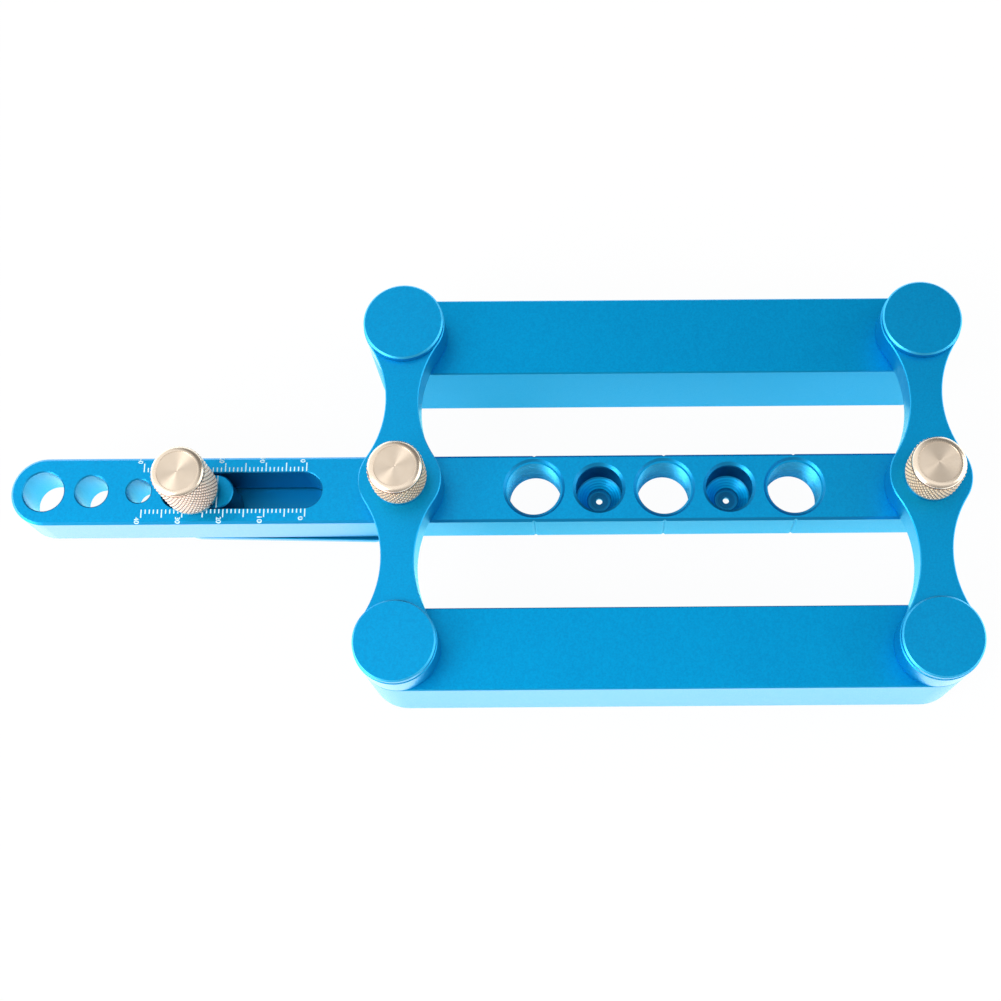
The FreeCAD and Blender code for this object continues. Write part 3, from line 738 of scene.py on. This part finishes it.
# painted shade: the slider block's upright faces are much darker
dress("slider_block", anodised("blockBlue", alongX, streak=0.002, side=(0.0, 0.12, 0.22)))
dress("stop_arm", anodised(
    "armBlue", alongX, streak=0.004,
    # painted shade on the arm's top under the bar, less deep where it is seen through the slot
    paintedPatches=((armTop, (0.0, 0.155, 0.29)), (armUnderSlot, (0.0, 0.215, 0.44))),
))
steel = platedSteel("platedSteel")
for row, back in (("front", -armLength), ("rear", armLength)):
    for side, across in (("left", -pivotX), ("right", pivotX)):
        place = row + "_" + side
        rings = turnedRings((across, back, 0), **pinRings)
        # painted highlight: the caps' broken edges are paler
        dress("pin_" + place, anodised("pinBlue_" + place, marks=rings, edge=(0.04, 0.46, 0.77)))
        dress("jaw_screw_" + place, steel)
        dress("jaw_washer_" + place, steel)
for side in ("left", "right"):
    dress("pivot_bolt_" + side, steel)
    dress("thrust_washer_" + side, steel)
dress("slider_screw", steel)
dress("thrust_washer_slider", steel)
print("finishes on the CAD nodes")


# knurled knobs, spun from a profile; each stands for its CAD knob
linkKnob = {
    "side": 6.8, "height": 10.0, "face": 5.0, "foot": 0.4, "band": 0.7, "inset": 0.2,
    "recess": 5.7, "recessDepth": 0.6, "bore": 3.05, "boreTop": 8.0,
    "columns": 160, "rows": 14, "knurlDepth": 0.3, "nib": 0.3,
    "knurlColour": (1.0, 0.77, 0.50), "knurlDark": (0.98, 0.67, 0.38), "knurlMetal": 0.1,
}
sliderKnob = {
    "side": 6.6, "height": 15.6, "face": 4.9, "foot": 0.4, "band": 0.9, "inset": 0.2,
    "recess": 5.7, "recessDepth": 0.6, "bore": 2.05, "boreTop": 11.5,
    "columns": 160, "rows": 25, "knurlDepth": 0.3, "nib": 0.3,
    "knurlColour": (1.0, 0.85, 0.69), "knurlDark": (1.0, 0.77, 0.57), "knurlMetal": 0.12,
}
turned = {
    "step": 0.11, "stepWall": 0.07, "nibDepth": 0.06, "nibRing": 1.3,
    "roundAngles": (43, 51, 59, 67, 74, 80, 85, 90), "smooth": 44, "weld": 0.001,
}
knurl = {
    "apart": 4,  # grid steps from one groove to the next
    "rowsOnRound": 2,
    "reach": 1.0,  # a face this near to the side belongs to the knurl
    "sameRadius": 0.003,
    # share of the full depth, and how many grid steps beside a groove's line it is cut
    "cuts": ((1.0, 0), (0.35, 1)),
}


def knurlLevels(knob):
    # heights and radii of the knurl's rows, which run on over the lower part of the round
    base = knob["height"] - (knob["side"] - knob["face"])
    start = knob["foot"] + knob["band"]
    pitch = (base - start) / knob["rows"]
    rounding = knob["side"] - knob["face"]
    levels = []
    for row in range(1, knob["rows"] + knurl["rowsOnRound"] + 1):
        rise = max(0.0, (row - knob["rows"]) * pitch)
        levels.append((start + row * pitch, knob["face"] + math.sqrt(rounding**2 - rise**2)))
    return levels


def knobProfile(knob):
    side, height, inset = knob["side"], knob["height"], knob["inset"]
    rounding = side - knob["face"]
    points = [
        (0, knob["boreTop"]), (knob["bore"], knob["boreTop"]), (knob["bore"], knob["recessDepth"]),
        (knob["recess"], knob["recessDepth"]), (knob["recess"], 0),
        (side - knob["foot"] - inset, 0), (side - inset, knob["foot"]),
        (side - inset, knob["foot"] + knob["band"]),
    ]
    points += [(radius, level) for level, radius in knurlLevels(knob)]
    for angle in turned["roundAngles"]:
        turn = math.radians(angle)
        level = height - rounding + rounding * math.sin(turn)
        points.append((knob["face"] + rounding * math.cos(turn), level))
    low = height - turned["step"]
    points.append((knob["face"] - turned["stepWall"], low))
    # a ring close to the centre dimple keeps the face's shading flat
    points += [(knob["nib"] * turned["nibRing"], low), (knob["nib"], low)]
    points += [(knob["nib"] / 2, low - turned["nibDepth"]), (0, low - turned["nibDepth"])]
    return points


def cutKnurl(piece, knob):
    # two crossing sets of grooves, and a shallower cut beside each that rounds the diamonds
    start = knob["foot"] + knob["band"]
    levels = knurlLevels(knob)
    pitch = levels[0][0] - start
    apart = knurl["apart"]
    for share, wanted in knurl["cuts"]:
        target = knob["side"] - share * knob["knurlDepth"]
        for radius in sorted({round(radius, 4) for _, radius in levels}, reverse=True):
            if radius <= target:
                continue

            def chosen(co):
                if abs(math.hypot(co.x, co.y) / mm - radius) > knurl["sameRadius"]:
                    return False
                row = round((co.z / mm - start) / pitch)
                if not 1 <= row < len(levels):
                    return False
                column = round(math.atan2(co.y, co.x) / (2 * math.pi) * knob["columns"])
                diagonals = (row + column, row - column)
                away = [min(d % apart, apart - d % apart) for d in diagonals]
                return min(away) == wanted

            pickVertices(piece, chosen)
            ratio = target / radius
            bpy.ops.transform.resize(value=(ratio, ratio, 1), center_override=(0, 0, 0))
    bpy.ops.mesh.select_all(action="SELECT")
    bpy.ops.mesh.quads_convert_to_tris(quad_method="SHORTEST_DIAGONAL", ngon_method="BEAUTY")
    bpy.ops.object.mode_set(mode="OBJECT")


def spinKnob(name, knob, centre, body, nodeName):
    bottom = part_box(nodeName)[0].z / mm
    profile = knobProfile(knob)
    deselectAll()
    bpy.ops.mesh.primitive_plane_add(size=mm, location=(0, 0, 0))
    piece = bpy.context.object
    bpy.ops.object.mode_set(mode="EDIT")
    bpy.ops.mesh.select_mode(type="VERT")
    bpy.ops.mesh.merge(type="CENTER")
    before = (0, 0)
    for point in profile:
        step = ((point[0] - before[0]) * mm, 0, (point[1] - before[1]) * mm)
        if point is profile[0]:
            bpy.ops.transform.translate(value=step)
        else:
            bpy.ops.mesh.extrude_region_move(TRANSFORM_OT_translate={"value": step})
        before = point
    bpy.ops.mesh.select_all(action="SELECT")
    bpy.ops.mesh.spin(steps=knob["columns"], angle=2 * math.pi, center=(0, 0, 0), axis=(0, 0, 1))
    bpy.ops.mesh.select_all(action="SELECT")
    bpy.ops.mesh.remove_doubles(threshold=turned["weld"] * mm)
    bpy.ops.mesh.normals_make_consistent(inside=False)
    bpy.ops.object.mode_set(mode="OBJECT")
    cutKnurl(piece, knob)
    piece.location = (centre * mm, 0, bottom * mm)
    settle(piece, name)
    bpy.ops.object.shade_smooth_by_angle(angle=math.radians(turned["smooth"]))
    piece.data.materials.append(turnedBrass(name + "Turned", (centre, 0, 0)))
    piece.data.materials.append(knurledBrass(name + "Knurled", (centre, 0, 0), knob))
    piece.data.materials.append(polishedBrass(name + "Polished", (centre, 0, 0)))
    low = knob["foot"] + knob["band"]
    high = knurlLevels(knob)[-1][0]
    for face in piece.data.polygons:
        level = face.center.z / mm - bottom
        away = math.hypot(face.center.x / mm - centre, face.center.y / mm)
        if away > knob["side"] - knurl["reach"] and low < level < high:
            face.material_index = 1
        elif away > knob["face"]:
            face.material_index = 2
    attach(piece, body)
    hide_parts(nodeName)


spinKnob("knurled_knob_left", linkKnob, -pivotX, "knob_left", "knob_left")
spinKnob("knurled_knob_right", linkKnob, pivotX, "knob_right", "knob_right")
spinKnob("knurled_knob_slider", sliderKnob, sliderX, "knob_slider", "knob_slider")
print("knobs spun and knurled")


# the guide holes' fine thread, one screw-swept ridge per hole
thread = {
    "root": 7.03, "crest": 6.5, "pitch": 1.0, "rootWidth": 0.94, "crestWidth": 0.16,
    "low": 0.0, "high": 12.2, "spareTurns": 2, "steps": 72, "smooth": 25, "weld": 0.0001,
    "holes": {"left": -32.0, "middle": 0.0, "right": 32.0},
}


def sweepThread(name, centre):
    turns = math.ceil((thread["high"] - thread["low"]) / thread["pitch"]) + thread["spareTurns"]
    weld = thread["weld"] * mm
    deselectAll()
    bpy.ops.mesh.primitive_plane_add(size=1, rotation=(math.radians(90), 0, 0))
    piece = bpy.context.object
    bpy.ops.object.transform_apply(location=True, rotation=True, scale=True)
    for vertex in piece.data.vertices:
        outer = vertex.co.x > 0
        width = thread["rootWidth"] if outer else thread["crestWidth"]
        vertex.co.x = (thread["root"] if outer else thread["crest"]) * mm
        # the first turn starts a pitch below the hole, and both ends are cut level after it
        vertex.co.z = math.copysign(width / 2, vertex.co.z) * mm - thread["pitch"] * mm
    only(piece)
    bpy.ops.object.mode_set(mode="EDIT")
    bpy.ops.mesh.select_all(action="SELECT")
    bpy.ops.mesh.delete(type="ONLY_FACE")
    bpy.ops.object.mode_set(mode="OBJECT")
    applyModifier(
        piece, "SCREW", axis="Z", angle=2 * math.pi, screw_offset=thread["pitch"] * mm,
        steps=thread["steps"], render_steps=thread["steps"], iterations=turns,
        use_merge_vertices=False,
    )
    for level, outward in ((thread["low"], -1), (thread["high"], 1)):
        only(piece)
        bpy.ops.object.mode_set(mode="EDIT")
        bpy.ops.mesh.select_all(action="SELECT")
        bpy.ops.mesh.bisect(
            plane_co=(0, 0, level * mm), plane_no=(0, 0, outward), clear_outer=True, threshold=weld,
        )
        pickVertices(piece, lambda co: abs(co.z - level * mm) < weld)
        bpy.ops.mesh.fill(use_beauty=True)
        bpy.ops.object.mode_set(mode="OBJECT")
    only(piece)
    bpy.ops.object.mode_set(mode="EDIT")
    bpy.ops.mesh.select_all(action="SELECT")
    bpy.ops.mesh.normals_make_consistent(inside=False)
    bpy.ops.object.mode_set(mode="OBJECT")
    piece.location = (centre * mm, 0, 0)
    settle(piece, name)
    bpy.ops.object.shade_smooth_by_angle(angle=math.radians(thread["smooth"]))
    piece.data.materials.append(threadBlue)
    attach(piece, "bar")


# painted shade on the thread's upright flanks, with painted highlight streaks across them and paler
# broken edges
threadBlue = anodised(
    "threadBlue", aroundZ, streak=0.05,
    side=(0.0, 0.15, 0.40), paintedSideHighlight=(0.04, 0.48, 0.88), edge=(0.03, 0.37, 0.66),
)
for side, centre in thread["holes"].items():
    sweepThread("guide_thread_" + side, centre)
print("threads cut")


# the scale beside the slot and the slider's index line
scale = {
    "zero": -88.0, "length": 40, "run": 5, "width": 0.28, "corner": 0.3,
    "top": 12.8, "proud": 0.012, "sunk": 0.02,
    "rearRow": {"start": 4.8, "short": 5.92, "long": 7.02, "figures": (7.02, 8.46)},
    "frontRow": {"start": -4.8, "short": -5.87, "long": -6.88, "figures": (-6.75, -8.35)},
    "figureStep": 10, "figureHeight": 1.25, "figureShift": -0.98, "figureBold": 0.025,
    "figureCurve": 4, "figureLift": 1, "singleWidth": 0.62, "chamfer": 7.9,
    "indexX": -110.0, "indexHalf": 4.2, "indexWidth": 0.26, "indexTop": 11.8,
}


def addMark(across, start, end, width, top):
    # a thin bar with eased corners, a hair above the face it marks
    depth = scale["proud"] + scale["sunk"]
    deselectAll()
    bpy.ops.mesh.primitive_cube_add(
        size=1,
        location=(across * mm, (start + end) / 2 * mm, (top + scale["proud"] - depth / 2) * mm),
        scale=(width * mm, abs(end - start) * mm, depth * mm),
    )
    mark = bpy.context.object
    bpy.ops.object.transform_apply(location=True, rotation=True, scale=True)
    bpy.ops.object.mode_set(mode="EDIT")
    bpy.ops.mesh.select_mode(type="EDGE")
    bpy.ops.mesh.select_all(action="DESELECT")
    bpy.ops.object.mode_set(mode="OBJECT")
    for edge in mark.data.edges:
        a, b = (mark.data.vertices[i].co for i in edge.vertices)
        edge.select = abs(a.z - b.z) > 0.5 * depth * mm
    bpy.ops.object.mode_set(mode="EDIT")
    bpy.ops.mesh.bevel(offset=width * scale["corner"] * mm, segments=2)
    bpy.ops.object.mode_set(mode="OBJECT")
    return mark


def scaleTicks():
    # in each row one run of five ticks, repeated along the slot, and the last long tick
    width, top = scale["width"], scale["top"]
    made = []
    for row in (scale["rearRow"], scale["frontRow"]):
        run = []
        for step in range(scale["run"]):
            end = row["short"] if step else row["long"]
            run.append(addMark(scale["zero"] - step, row["start"], end, width, top))
        run = joinPieces(run, "run")
        applyModifier(
            run, "ARRAY", count=scale["length"] // scale["run"], use_relative_offset=False,
            use_constant_offset=True, constant_offset_displace=(-scale["run"] * mm, 0, 0),
        )
        last = scale["zero"] - scale["length"]
        made += [run, addMark(last, row["start"], row["long"], width, top)]
    return joinPieces(made, "scale_ticks")


def flatSpan(piece):
    xs, ys = zip(*((v.co.x, v.co.y) for v in piece.data.vertices))
    return min(xs), max(xs), min(ys), max(ys)


def scaleFigures():
    made = []
    for row in (scale["rearRow"], scale["frontRow"]):
        low, high = sorted(row["figures"])
        for value in range(0, scale["length"] + 1, scale["figureStep"]):
            deselectAll()
            bpy.ops.object.text_add(location=(0, 0, 0))
            figure = bpy.context.object
            figure.data.body = str(value)
            figure.data.size = mm
            figure.data.offset = scale["figureBold"] * mm
            figure.data.resolution_u = scale["figureCurve"]
            bpy.ops.object.convert(target="MESH")
            figure = bpy.context.object
            left, right, bottom, top = flatSpan(figure)
            wide = (high - low) * (1.0 if value else scale["singleWidth"])
            tall = scale["figureHeight"]
            figure.scale = (wide * mm / (right - left), tall * mm / (top - bottom), 1)
            figure.rotation_euler = (0, 0, -math.pi / 2)
            bpy.ops.object.transform_apply(location=False, rotation=True, scale=True)
            left, right, bottom, top = flatSpan(figure)
            middle = (low + wide / 2 if row is scale["rearRow"] else high - wide / 2) * mm
            # held clear of the face until it is pressed onto it
            figure.location = (
                (scale["zero"] - value + scale["figureShift"]) * mm - (right + left) / 2,
                middle - (top + bottom) / 2,
                (scale["top"] + scale["figureLift"]) * mm,
            )
            bpy.ops.object.transform_apply(location=True)
            made.append(figure)
    figures = joinPieces(made, "scale_figures")
    # cut along the bar's chamfer edges, so that the figures fold down over them
    for level in (scale["chamfer"], -scale["chamfer"]):
        bpy.ops.object.mode_set(mode="EDIT")
        bpy.ops.mesh.select_all(action="SELECT")
        bpy.ops.mesh.bisect(plane_co=(0, level * mm, 0), plane_no=(0, 1, 0))
        bpy.ops.object.mode_set(mode="OBJECT")
    applyModifier(
        figures, "SHRINKWRAP", target=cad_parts["center_bar"], wrap_method="PROJECT",
        use_project_z=True, use_negative_direction=True, use_positive_direction=False,
        offset=scale["proud"] * mm,
    )
    applyModifier(figures, "SOLIDIFY", thickness=(scale["proud"] + scale["sunk"]) * mm, offset=-1)
    return figures


def indexLine():
    half = scale["indexHalf"]
    line = addMark(scale["indexX"], -half, half, scale["indexWidth"], scale["indexTop"])
    return settle(line, "index_line")


chalk = whiteMark("chalkWhite")
for piece, body in ((scaleTicks(), "bar"), (scaleFigures(), "bar"), (indexLine(), "slider")):
    piece.data.materials.clear()
    piece.data.materials.append(chalk)
    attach(piece, body)
print("scale marked")
